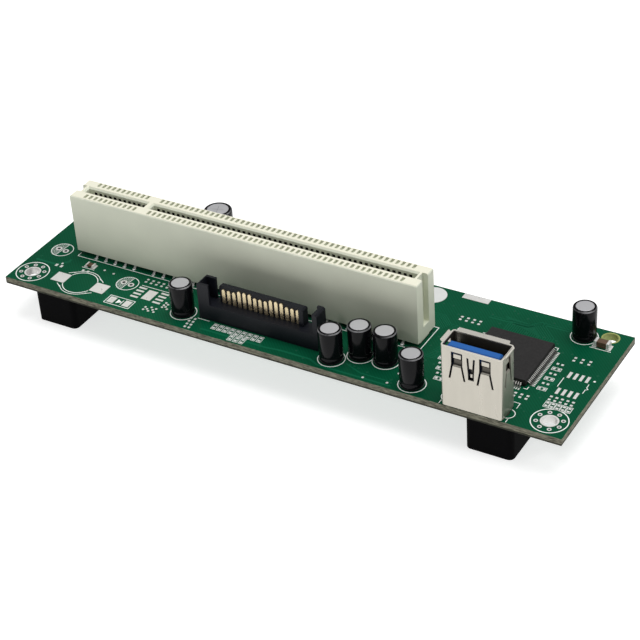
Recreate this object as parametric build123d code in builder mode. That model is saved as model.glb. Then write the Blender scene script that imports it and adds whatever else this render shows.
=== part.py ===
from build123d import *
import os

os.makedirs("parts", exist_ok=True)

# Driving dimensions, millimetres
board_length = 131.6
board_width = 36.4
board_thickness = 1.6
foot_height = 8.5
foot_side = 10.2
foot_corner = 1.2
left_foot_inset = 11.5
right_foot_inset = 15.8
foot_edge_inset = 6.45

mount_hole_diameter = 3.2
end_hole_inset = 4.3
front_hole_inset = 4.2
rear_hole_inset = 2.3

contact_pitch = 1.27
slot_positions = 62
key_positions = (11, 12)
slot_centre_x = -14.2
slot_end_margin = 3.65
slot_width = 7.4
slot_height = 15.05
slot_standoff = 1.0
slot_floor = 6.2
groove_width = 1.75
groove_overrun = 0.85
groove_bare_end = 0.8
groove_lead_in = 0.4
key_wall = 1.6
pocket_width = 0.7
pocket_length = 1.4
pocket_depth = 0.6
pocket_wall = 0.45
chamber_width = 0.7
chamber_wall = 0.75
window_top_drop = 0.95
end_guide_width = 2.5
end_guide_depth = 1.2
end_guide_floor = 3.7
slot_edge = 0.25
standoff_length = 2.4
standoff_inset = 1.7
standoff_width = 4.4
inner_row = 1.27
outer_row = 3.81

lead_thickness = 0.2
lead_width = 0.5
contact_tip_gap = 0.1
contact_tip_drop = 0.9
contact_wall_gap = 0.15

power_pins = 15
power_centre_x = -4.25
power_front_inset = 4.95
power_depth = 3.6
power_left_reach = 14.0
power_right_reach = 14.7
power_base_height = 3.8
power_tower_height = 8.7
power_left_tower = 2.8
power_right_tower = 1.1
power_tower_wall = 0.6
power_tower_front_wall = 0.5
power_blade_height = 7.85
power_blade_left = 10.0
power_blade_right = 10.5
power_blade_thickness = 1.2
power_key_length = 1.1
power_key_depth = 0.75
power_pin_width = 0.76
power_pin_thickness = 0.25
power_pin_height = 7.1
power_pin_extra = 0.55
long_pin_numbers = (3, 4, 5, 9, 10, 11)
power_pin_tip = 0.28
power_pin_fit = 0.05
power_rib_reach = 0.5
power_blade_edge = 0.2
power_corner = 0.35

usb_end_inset = 18.7
usb_width = 12.9
usb_depth = 5.7
usb_sheet = 0.3
usb_height = 14.2
usb_standoff = 0.15
usb_corner = 0.6
usb_lip_root_drop = 0.2
usb_lip_bend_drop = 0.05
usb_lip_rise = 0.6
usb_lip_reach = 0.6
usb_back_lip_length = 10.6
usb_side_lip_length = 3.4
usb_base_height = 4.6
usb_tongue_width = 10.9
usb_tongue_thickness = 1.84
usb_tongue_gap = 0.65
usb_tongue_height = 13.85
usb_tongue_edge = 0.25
usb_fit = 0.05
spring_root_z = 7.0
spring_tip_z = 12.7
spring_root_width = 2.75
spring_tip_width = 1.55
spring_shoulder = 0.6
spring_slit = 0.42
spring_tip_gap = 0.6
spring_offset = 2.95
spring_lean = 0.55
spring_bends = (0.52, 0.6, 0.76, 0.84)
spring_tip_share = 0.45
spring_grip = 0.3
side_spring_root_width = 2.2
side_spring_tip_width = 1.3
latch_root_width = 0.95
latch_tip_width = 0.4
latch_shoulder = 0.9
latch_root_z = 12.75
latch_tip_z = 8.3
usb_foot_width = 1.1
usb_foot_clearance = 0.2
usb_power_contacts = 4
usb_power_pitch = 2.3
usb_fast_contacts = 5
usb_fast_pitch = 2.0
usb_contact_width = 0.5
usb_contact_height = 12.9
usb_contact_thickness = 0.15
usb_row_gap = 1.5
usb_step_low = 0.3
usb_step_high = 0.9

chip_x = 46.0
chip_y = 0.75
chip_side = 14.0
chip_thickness = 1.4
chip_standoff = 0.1
chip_draft = 10
chip_edge_leads = 25
chip_lead_pitch = 0.5
chip_lead_width = 0.22
chip_lead_reach = 1.0
chip_lead_thickness = 0.12
chip_mark_radius = 0.7
chip_mark_depth = 0.08

small_can_diameter = 5.0
small_can_height = 7.6
large_can_diameter = 6.3
large_can_height = 11.6
sleeve_wall = 0.15
can_edge = 0.3
# Front capacitors: place along the board and inset from its front edge
front_capacitors = {
    "capacitor_a": (13.95, 4.0),
    "capacitor_b": (18.75, 7.5),
    "capacitor_c": (24.3, 7.9),
    "capacitor_f": (-22.45, 5.1),
}
capacitor_d_share = 0.522
capacitor_d_inset = 3.35
capacitor_e_end_inset = 9.3
capacitor_e_rear_inset = 4.0
large_capacitor_place = (-27.2, 9.6)

filter_end_inset = 4.7
filter_rear_inset = 5.6
filter_size = (3.2, 1.6, 1.4)
filter_cap_length = 0.55
bypass_place = (-51.0, -6.8)
bypass_size = (2.0, 1.25, 0.6)
bypass_cap_length = 0.4
component_cap_wall = 0.08

# Values that follow from the driving dimensions
board_top = foot_height + board_thickness
board_bottom = foot_height
board_front = -board_width / 2
board_right = board_length / 2
board_rear = board_width / 2
mount_hole_x = board_right - end_hole_inset
front_hole_y = board_front + front_hole_inset
rear_hole_y = board_rear - rear_hole_inset
mount_hole_radius = mount_hole_diameter / 2
left_foot_x = left_foot_inset - board_right
right_foot_x = board_right - right_foot_inset
front_foot_y = board_front + foot_edge_inset

contact_span = (slot_positions - 1) * contact_pitch
slot_length = contact_span + 2 * slot_end_margin
slot_left = slot_centre_x - slot_length / 2
slot_right = slot_centre_x + slot_length / 2
first_contact_x = slot_centre_x - contact_span / 2
slot_top = board_top + slot_height
slot_underside = board_top + slot_standoff
groove_floor = board_top + slot_floor
key_x = first_contact_x + contact_pitch * sum(key_positions) / len(key_positions)
pocket_y = slot_width / 2 - pocket_wall - pocket_length / 2
chamber_outer = slot_width / 2 - chamber_wall
chamber_y = (chamber_outer + groove_width / 2) / 2
window_top = slot_top - window_top_drop
used_positions = [i for i in range(slot_positions) if i not in key_positions]
contact_x = [first_contact_x + i * contact_pitch for i in used_positions]
outer_x = [first_contact_x + i * contact_pitch for i in used_positions if i % 2 == 1]
inner_x = [first_contact_x + i * contact_pitch for i in used_positions if i % 2 == 0]
standoff_x = (slot_left + standoff_inset, key_x, slot_right - standoff_inset)

power_front_y = board_front + power_front_inset
power_left = power_centre_x - power_left_reach
power_right = power_centre_x + power_right_reach
power_back_y = power_front_y + power_depth
power_face_y = power_back_y - power_blade_thickness
power_pin_x = [power_centre_x + (i - (power_pins - 1) / 2) * contact_pitch for i in range(power_pins)]

usb_centre_x = board_right - usb_end_inset
usb_centre_y = board_front + usb_depth / 2
usb_bottom = board_top + usb_standoff
usb_top = board_top + usb_height
usb_inner_front = board_front + usb_sheet
tongue_front = usb_inner_front + usb_tongue_gap
tongue_back = tongue_front + usb_tongue_thickness
usb_foot_x = usb_width / 2 - usb_sheet / 2
usb_power_x = [usb_centre_x + (i - (usb_power_contacts - 1) / 2) * usb_power_pitch
               for i in range(usb_power_contacts)]
usb_fast_x = [usb_centre_x + (i - (usb_fast_contacts - 1) / 2) * usb_fast_pitch
              for i in range(usb_fast_contacts)]
usb_power_row_y = tongue_back + usb_contact_thickness / 2
usb_fast_row_y = usb_power_row_y + usb_row_gap

usb_mouth_left = usb_centre_x - usb_width / 2 - usb_lip_reach
capacitor_places = {name: (x, board_front + inset) for name, (x, inset) in front_capacitors.items()}
capacitor_c_x = capacitor_places["capacitor_c"][0]
capacitor_d_x = capacitor_c_x + capacitor_d_share * (usb_mouth_left - capacitor_c_x)
capacitor_places["capacitor_d"] = (capacitor_d_x, board_front + capacitor_d_inset)
capacitor_places["capacitor_e"] = (board_right - capacitor_e_end_inset, board_rear - capacitor_e_rear_inset)
filter_place = (board_right - filter_end_inset, board_rear - filter_rear_inset)


def block(x_low, x_high, y_low, y_high, z_low, z_high, mode=Mode.ADD):
    """A box between two corners, for use inside a part block."""
    with Locations(((x_low + x_high) / 2, (y_low + y_high) / 2, (z_low + z_high) / 2)):
        return Box(x_high - x_low, y_high - y_low, z_high - z_low, mode=mode)


def strip(points, thickness):
    """A face of even thickness that follows a bent line, for use inside a sketch block."""
    with BuildLine() as outline:
        Polyline(*points)
        offset(amount=thickness, side=Side.RIGHT, kind=Kind.INTERSECTION, closed=True)
    return make_face(outline.edges())


def save(part, name):
    """Label a finished piece and write its file."""
    part.label = name
    export_step(part, f"parts/{name}.step")


# Circuit board with its mounting holes and the slots for the socket's feet
def make_board():
    with BuildPart() as board:
        with BuildSketch(Plane.XY.offset(board_bottom)):
            Rectangle(board_length, board_width)
            with Locations(*[(x, y) for x in (-mount_hole_x, mount_hole_x) for y in (front_hole_y, rear_hole_y)]):
                Circle(mount_hole_radius, mode=Mode.SUBTRACT)
            with Locations(*[(usb_centre_x + side * usb_foot_x, usb_centre_y) for side in (-1, 1)]):
                SlotOverall(usb_foot_width + 2 * usb_foot_clearance, usb_sheet + 2 * usb_foot_clearance, 90,
                            mode=Mode.SUBTRACT)
        extrude(amount=board_thickness)
    return board.part


# Rubber feet under the corners
def make_foot(x, y):
    with BuildPart() as foot:
        with Locations((x, y, foot_height / 2)):
            Box(foot_side, foot_side, foot_height)
        fillet(foot.edges().filter_by(Axis.Z), foot_corner)
    return foot.part


# Moulded body of the card slot
def make_slot_housing():
    groove_left = first_contact_x - groove_overrun - groove_bare_end
    groove_right = first_contact_x + contact_span + groove_overrun + groove_bare_end
    groove_spans = ((groove_left, key_x - key_wall / 2), (key_x + key_wall / 2, groove_right))
    with BuildPart() as housing:
        with BuildSketch(Plane.XY.offset(slot_underside)):
            with Locations((slot_centre_x, 0)):
                Rectangle(slot_length, slot_width)
        extrude(amount=slot_top - slot_underside)
        # Softened outer edges of the moulding
        chamfer(housing.faces().sort_by(Axis.Z)[-1].edges(), slot_edge)
        # Feet that hold the body off the board
        with BuildSketch(Plane.XY.offset(board_top)):
            with Locations(*[(x, 0) for x in standoff_x]):
                Rectangle(standoff_length, standoff_width - 2 * slot_edge)
        extrude(amount=slot_standoff)
        # Card groove in two stretches, with sloped lead-in edges
        with BuildSketch(Plane.XY.offset(slot_top)):
            for low, high in groove_spans:
                with Locations(((low + high) / 2, 0)):
                    Rectangle(high - low, groove_width)
        extrude(amount=groove_floor - slot_top, mode=Mode.SUBTRACT)
        groove_edges = housing.faces().sort_by(Axis.Z)[-1].inner_wires().edges()
        chamfer(groove_edges, groove_lead_in)
        # Vertical guides in both end faces
        for face_x in (slot_left, slot_right):
            block(face_x - end_guide_depth, face_x + end_guide_depth, -end_guide_width / 2, end_guide_width / 2,
                  board_top + end_guide_floor, slot_top + slot_edge, mode=Mode.SUBTRACT)
        # Shallow pockets along both rails
        with BuildSketch(Plane.XY.offset(slot_top)):
            with Locations(*[(x, side * pocket_y) for x in contact_x for side in (-1, 1)]):
                Rectangle(pocket_width, pocket_length)
        extrude(amount=-pocket_depth, mode=Mode.SUBTRACT)
        # Contact chambers, open to the groove and to the underside
        with BuildSketch(Plane.XY.offset(slot_underside)):
            with Locations(*[(x, side * chamber_y) for x in contact_x for side in (-1, 1)]):
                Rectangle(chamber_width, chamber_outer - groove_width / 2)
        extrude(amount=window_top - slot_underside, mode=Mode.SUBTRACT)
    return housing.part


# Spring contacts of one side of the card slot, with tails in two staggered rows
def make_slot_contacts(side):
    half = lead_thickness / 2
    tip = (groove_width / 2 + contact_tip_gap + lead_thickness, window_top - contact_tip_drop)
    knee = (chamber_outer - contact_wall_gap, slot_underside - contact_wall_gap)
    outer_points = [(outer_row + half, board_top), knee, tip]
    inner_points = [(inner_row + half, board_top), tip]
    with BuildPart() as contacts:
        for places, points in ((outer_x, outer_points), (inner_x, inner_points)):
            back_points = [(y - lead_thickness, z) for y, z in reversed(points)]
            with BuildSketch(*[Plane.YZ.offset(x) for x in places]):
                Polygon(*[(side * y, z) for y, z in points + back_points], align=None)
            extrude(amount=lead_width / 2, both=True)
    return contacts.part


# Moulded body of the power connector
def make_power_housing():
    base_top = board_top + power_base_height
    tower_top = board_top + power_tower_height
    left_inner = power_left + power_left_tower
    right_inner = power_right - power_right_tower
    blade_left = power_centre_x - power_blade_left
    blade_right = power_centre_x + power_blade_right
    with BuildPart() as housing:
        block(power_left, power_right, power_front_y, power_back_y, board_top, base_top)
        # Left guide tower, open towards the blade
        block(power_left, left_inner, power_front_y, power_back_y, base_top, tower_top)
        block(power_left + power_tower_wall, left_inner, power_front_y + power_tower_front_wall,
              power_back_y - power_tower_wall, base_top, tower_top, mode=Mode.SUBTRACT)
        # Right guide tower with its inner rib
        block(right_inner, power_right, power_front_y, power_back_y, base_top, tower_top)
        block(right_inner - power_rib_reach, right_inner, power_back_y - power_tower_wall, power_back_y,
              base_top, tower_top)
        # Contact blade with its return at one end
        block(blade_left, blade_right, power_face_y, power_back_y, base_top, board_top + power_blade_height)
        block(blade_right - power_key_length, blade_right, power_face_y - power_key_depth, power_face_y,
              base_top, board_top + power_blade_height)
        # Bevelled corners of the towers and the blade
        tower_edges, blade_edges = housing.edges().filter_by(Axis.Y).group_by(Axis.Z)[-1:-3:-1]
        for edges in (tower_edges.sort_by(Axis.X), blade_edges.sort_by(Axis.X)):
            chamfer([edges[0], edges[-1]], power_corner)
        chamfer(housing.edges().filter_by(Axis.X).group_by(Axis.Z)[-2].sort_by(Axis.Y)[-1:], power_blade_edge)
        # Slots through the base for the pins
        with BuildSketch(Plane.XY.offset(base_top)):
            with Locations(*[(x, power_face_y - power_pin_thickness / 2) for x in power_pin_x]):
                Rectangle(power_pin_width + 2 * power_pin_fit, power_pin_thickness + power_pin_fit)
        extrude(amount=-power_base_height, mode=Mode.SUBTRACT)
    return housing.part


# Flat pins of the power connector, six of them longer
def make_power_pins():
    half = power_pin_width / 2
    with BuildPart() as pins:
        for index, x in enumerate(power_pin_x):
            tip = board_top + power_pin_height + (power_pin_extra if index in long_pin_numbers else 0)
            with BuildSketch(Plane.XZ.offset(-power_face_y)):
                with Locations((x, 0)):
                    Polygon((-half, board_top), (half, board_top), (half, tip - power_pin_tip),
                            (half - power_pin_tip, tip), (power_pin_tip - half, tip), (-half, tip - power_pin_tip),
                            align=None)
            extrude(amount=power_pin_thickness)
    return pins.part


# One pressed tongue of the socket's shell, bent inwards, with the wall's outer face at y = 0
def make_shell_spring(root_width, tip_width, root_z, tip_z, shoulder):
    rise = tip_z - root_z
    grip = spring_grip if rise > 0 else -spring_grip
    tip_lean = spring_tip_share * spring_lean
    shoulder_z = root_z + shoulder * rise
    low_bend, low_knee, high_knee, high_bend = [root_z + share * rise for share in spring_bends]
    with BuildPart() as spring:
        with BuildSketch(Plane.YZ):
            with BuildLine() as outline:
                Polyline((0, root_z - grip), (0, low_bend), (spring_lean, low_knee), (spring_lean, high_knee),
                         (tip_lean, high_bend), (tip_lean, tip_z))
                offset(amount=usb_sheet, side=Side.RIGHT if rise > 0 else Side.LEFT,
                       kind=Kind.INTERSECTION, closed=True)
            make_face(outline.edges())
        extrude(amount=root_width, both=True)
        with BuildSketch(Plane.XZ):
            Polygon((-root_width / 2, root_z - grip), (root_width / 2, root_z - grip),
                    (root_width / 2, root_z), (tip_width / 2, shoulder_z), (tip_width / 2, tip_z),
                    (-tip_width / 2, tip_z), (-tip_width / 2, shoulder_z), (-root_width / 2, root_z), align=None)
        extrude(amount=2 * usb_sheet + spring_lean, both=True, mode=Mode.INTERSECT)
    return spring.part


# The window around such a tongue
def make_shell_window(root_width, tip_width, root_z, tip_z, shoulder):
    gap = spring_tip_gap if tip_z > root_z else -spring_tip_gap
    shoulder_z = root_z + shoulder * (tip_z - root_z)
    half_root = root_width / 2 + spring_slit
    half_tip = tip_width / 2 + spring_slit
    with BuildPart() as window:
        with BuildSketch(Plane.XZ):
            Polygon((-half_root, root_z), (half_root, root_z), (half_tip, shoulder_z), (half_tip, tip_z + gap),
                    (-half_tip, tip_z + gap), (-half_tip, shoulder_z), align=None)
        extrude(amount=2 * usb_sheet, both=True)
    return window.part


# Folded steel shell of the upright USB socket
def make_usb_shell():
    left = usb_centre_x - usb_width / 2
    right = usb_centre_x + usb_width / 2
    back = board_front + usb_depth
    lip_root = usb_top - usb_lip_root_drop
    lip_bend = usb_top - usb_lip_bend_drop
    lip_end = lip_bend + usb_lip_rise
    wide = (spring_root_width, spring_tip_width, spring_root_z, spring_tip_z, spring_shoulder)
    narrow = (side_spring_root_width, side_spring_tip_width, spring_root_z, spring_tip_z, spring_shoulder)
    latch = (latch_root_width, latch_tip_width, latch_root_z, latch_tip_z, latch_shoulder)
    presses = [
        (wide, Location((usb_centre_x - spring_offset, board_front, board_top))),
        (wide, Location((usb_centre_x + spring_offset, board_front, board_top))),
        (latch, Location((usb_centre_x, board_front, board_top))),
        (narrow, Location((right, usb_centre_y, board_top), (0, 0, 90))),
        (narrow, Location((left, usb_centre_y, board_top), (0, 0, -90))),
    ]
    pressed = [(make_shell_window(*sizes), make_shell_spring(*sizes), place) for sizes, place in presses]
    with BuildPart() as shell:
        with BuildSketch(Plane.XY.offset(usb_bottom)):
            with Locations((usb_centre_x, usb_centre_y)):
                RectangleRounded(usb_width, usb_depth, usb_corner)
                RectangleRounded(usb_width - 2 * usb_sheet, usb_depth - 2 * usb_sheet, usb_corner - usb_sheet,
                                 mode=Mode.SUBTRACT)
        extrude(amount=usb_top - usb_bottom)
        # Flared lips on the back and both ends of the mouth
        with BuildSketch(Plane.YZ.offset(usb_centre_x)):
            strip([(back - usb_sheet, lip_root), (back - usb_sheet, lip_bend),
                   (back - usb_sheet + usb_lip_reach, lip_end)], usb_sheet)
        extrude(amount=usb_back_lip_length / 2, both=True)
        with BuildSketch(Plane.XZ.offset(-usb_centre_y)):
            strip([(right - usb_sheet, lip_root), (right - usb_sheet, lip_bend),
                   (right - usb_sheet + usb_lip_reach, lip_end)], usb_sheet)
            strip([(left + usb_sheet - usb_lip_reach, lip_end), (left + usb_sheet, lip_bend),
                   (left + usb_sheet, lip_root)], usb_sheet)
        extrude(amount=usb_side_lip_length / 2, both=True)
        # Feet that pass through the board
        for x in (usb_centre_x - usb_foot_x, usb_centre_x + usb_foot_x):
            block(x - usb_sheet / 2, x + usb_sheet / 2, usb_centre_y - usb_foot_width / 2,
                  usb_centre_y + usb_foot_width / 2, board_bottom, usb_bottom + usb_sheet)
        # Pressed springs in the front and end walls
        for window, spring, place in pressed:
            with Locations(place):
                add(window, mode=Mode.SUBTRACT)
                add(spring)
    return shell.part


# Blue insulator: a base that fills the shell's foot and the tongue that stands in the mouth
def make_usb_insulator():
    half_tongue = usb_tongue_width / 2
    base_top = board_top + usb_base_height
    with BuildPart() as insulator:
        with BuildSketch(Plane.XY.offset(usb_bottom)):
            with Locations((usb_centre_x, usb_centre_y)):
                RectangleRounded(usb_width - 2 * (usb_sheet + usb_fit), usb_depth - 2 * (usb_sheet + usb_fit),
                                 usb_corner - usb_sheet)
            contact_slot = (usb_contact_width + 2 * usb_fit, usb_contact_thickness + usb_fit)
            with Locations(*[(x, usb_power_row_y + usb_fit / 2) for x in usb_power_x]):
                Rectangle(*contact_slot, mode=Mode.SUBTRACT)
            with Locations(*[(x, usb_fast_row_y + usb_fit / 2) for x in usb_fast_x]):
                Rectangle(*contact_slot, mode=Mode.SUBTRACT)
        extrude(amount=base_top - usb_bottom)
        block(usb_centre_x - half_tongue, usb_centre_x + half_tongue, tongue_front, tongue_back,
              base_top, board_top + usb_tongue_height)
        chamfer(insulator.faces().sort_by(Axis.Z)[-1].edges(), usb_tongue_edge)
    return insulator.part


# Contacts of the USB socket: straight ones, or stepped ones that start in the second row
def make_usb_contacts(places, row_y):
    step = row_y - usb_power_row_y
    face = row_y - usb_contact_thickness / 2
    base_top = board_top + usb_base_height
    top = board_top + usb_contact_height
    if step > 0:
        points = [(face, board_top), (face, base_top + usb_step_low), (face - step, base_top + usb_step_high),
                  (face - step, top)]
    else:
        points = [(face, board_top), (face, top)]
    with BuildPart() as contacts:
        with BuildSketch(*[Plane.YZ.offset(x) for x in places]):
            with BuildLine() as outline:
                Polyline(*points)
                offset(amount=usb_contact_thickness, side=Side.RIGHT, kind=Kind.INTERSECTION, closed=True)
            make_face(outline.edges())
        extrude(amount=usb_contact_width / 2, both=True)
    return contacts.part


# Moulded body of the bridge chip, drafted both ways from its parting line
def make_chip_body():
    parting_z = board_top + chip_standoff + chip_thickness / 2
    with BuildPart() as body:
        with BuildSketch(Plane.XY.offset(parting_z)):
            with Locations((chip_x, chip_y)):
                Rectangle(chip_side, chip_side)
        extrude(amount=chip_thickness / 2, both=True, taper=chip_draft)
        with BuildSketch(Plane.XY.offset(board_top + chip_standoff + chip_thickness)):
            with Locations((chip_x - chip_side / 2 + 3 * chip_mark_radius,
                            chip_y - chip_side / 2 + 3 * chip_mark_radius)):
                Circle(chip_mark_radius)
        extrude(amount=-chip_mark_depth, mode=Mode.SUBTRACT)
    return body.part


# Gull-wing leads on the chip's four sides
def make_chip_leads():
    parting_z = board_top + chip_standoff + chip_thickness / 2
    foot_z = board_top + chip_lead_thickness
    side_y = chip_side / 2
    middle = (chip_edge_leads - 1) / 2
    knee_y = side_y + chip_lead_reach / 2
    toe_y = side_y + chip_lead_reach
    half = chip_lead_thickness / 2
    with BuildPart() as one_side:
        with BuildSketch(*[Plane.YZ.offset((i - middle) * chip_lead_pitch) for i in range(chip_edge_leads)]):
            Polygon((side_y, parting_z + half), (side_y, parting_z - half), (knee_y, board_top),
                    (toe_y, board_top), (toe_y, foot_z), align=None)
        extrude(amount=chip_lead_width / 2, both=True)
    with BuildPart() as leads:
        with Locations(*[Location((chip_x, chip_y, 0), (0, 0, angle)) for angle in (0, 90, 180, 270)]):
            add(one_side.part)
    return leads.part


# Upright electrolytic capacitor: plastic sleeve round an aluminium can with a bevelled shoulder
def make_capacitor(name, x, y, diameter, height):
    top = board_top + height
    radius = diameter / 2
    inner = radius - sleeve_wall
    profile_plane = Plane((x, y, 0), x_dir=(1, 0, 0), z_dir=(0, -1, 0))
    centre_line = Axis((x, y, 0), (0, 0, 1))
    with BuildPart() as sleeve:
        with BuildSketch(profile_plane):
            Polygon((inner, board_top), (radius, board_top), (radius, top - can_edge),
                    (inner, top - can_edge + sleeve_wall), align=None)
        revolve(axis=centre_line)
    with BuildPart() as can:
        with BuildSketch(profile_plane):
            Polygon((0, board_top), (inner, board_top), (inner, top - can_edge + sleeve_wall / 2),
                    (inner - can_edge, top), (0, top), align=None)
        revolve(axis=centre_line)
    return {f"{name}_sleeve": sleeve.part, f"{name}_can": can.part}


# Surface-mounted block with a metal cap on each end
def make_chip_component(place, size, cap_length):
    length, width, height = size
    x, y = place
    bottom = (Align.CENTER, Align.CENTER, Align.MIN)
    with BuildPart() as body:
        with Locations((x, y, board_top + component_cap_wall)):
            Box(length - 2 * cap_length, width - 2 * component_cap_wall, height - 2 * component_cap_wall,
                align=bottom)
    with BuildPart() as caps:
        cap_x = length / 2 - cap_length / 2
        with Locations((x - cap_x, y, board_top), (x + cap_x, y, board_top)):
            Box(cap_length, width, height, align=bottom)
        chamfer(caps.edges().filter_by(Axis.Y), component_cap_wall)
    return body.part, caps.part


# Build every piece and write it to its own file
foot_places = {
    "foot_front_left": (left_foot_x, front_foot_y),
    "foot_front_right": (right_foot_x, front_foot_y),
    "foot_rear_left": (left_foot_x, -front_foot_y),
    "foot_rear_right": (right_foot_x, -front_foot_y),
}
filter_body, filter_caps = make_chip_component(filter_place, filter_size, filter_cap_length)
bypass_body, bypass_caps = make_chip_component(bypass_place, bypass_size, bypass_cap_length)
pieces = {
    "printed_circuit_board": make_board(),
    "pci_slot_housing": make_slot_housing(),
    "pci_contacts_rear": make_slot_contacts(1),
    "pci_contacts_front": make_slot_contacts(-1),
    "power_connector_housing": make_power_housing(),
    "power_connector_pins": make_power_pins(),
    "usb_shell": make_usb_shell(),
    "usb_insulator": make_usb_insulator(),
    "usb_power_contacts": make_usb_contacts(usb_power_x, usb_power_row_y),
    "usb_data_contacts": make_usb_contacts(usb_fast_x, usb_fast_row_y),
    "bridge_chip_body": make_chip_body(),
    "bridge_chip_leads": make_chip_leads(),
    "filter_capacitor_body": filter_body,
    "filter_capacitor_caps": filter_caps,
    "bypass_capacitor_body": bypass_body,
    "bypass_capacitor_caps": bypass_caps,
}
for foot_name, place in foot_places.items():
    pieces[foot_name] = make_foot(*place)
for capacitor_name, place in capacitor_places.items():
    pieces.update(make_capacitor(capacitor_name, *place, small_can_diameter, small_can_height))
pieces.update(make_capacitor("capacitor_g", *large_capacitor_place, large_can_diameter, large_can_height))
for piece_name, piece in pieces.items():
    save(piece, piece_name)
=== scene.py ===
import math
import random

import bpy
from mathutils import Matrix, Vector


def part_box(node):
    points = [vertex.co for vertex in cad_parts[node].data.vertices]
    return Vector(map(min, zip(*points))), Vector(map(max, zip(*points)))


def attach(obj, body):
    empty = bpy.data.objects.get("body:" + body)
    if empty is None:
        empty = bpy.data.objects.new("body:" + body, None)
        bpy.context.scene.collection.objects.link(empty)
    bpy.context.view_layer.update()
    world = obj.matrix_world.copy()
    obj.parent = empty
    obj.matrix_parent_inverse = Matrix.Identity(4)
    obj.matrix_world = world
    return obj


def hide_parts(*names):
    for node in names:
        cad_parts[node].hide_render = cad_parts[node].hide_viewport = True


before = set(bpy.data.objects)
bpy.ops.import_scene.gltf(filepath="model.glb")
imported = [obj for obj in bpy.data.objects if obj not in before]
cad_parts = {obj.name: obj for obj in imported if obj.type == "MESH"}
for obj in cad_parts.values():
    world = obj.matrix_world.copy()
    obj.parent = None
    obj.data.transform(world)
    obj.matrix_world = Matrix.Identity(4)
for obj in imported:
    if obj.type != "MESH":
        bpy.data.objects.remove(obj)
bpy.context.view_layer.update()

MM = 0.001


# Lowest and highest corner of a CAD piece, in millimetres
def box_mm(node):
    low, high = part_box(node)
    return low / MM, high / MM


board_low, board_high = box_mm("printed_circuit_board")
TOP = board_high.z
BOTTOM = board_low.z
LEFT, RIGHT = board_low.x, board_high.x
FRONT, REAR = board_low.y, board_high.y


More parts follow.
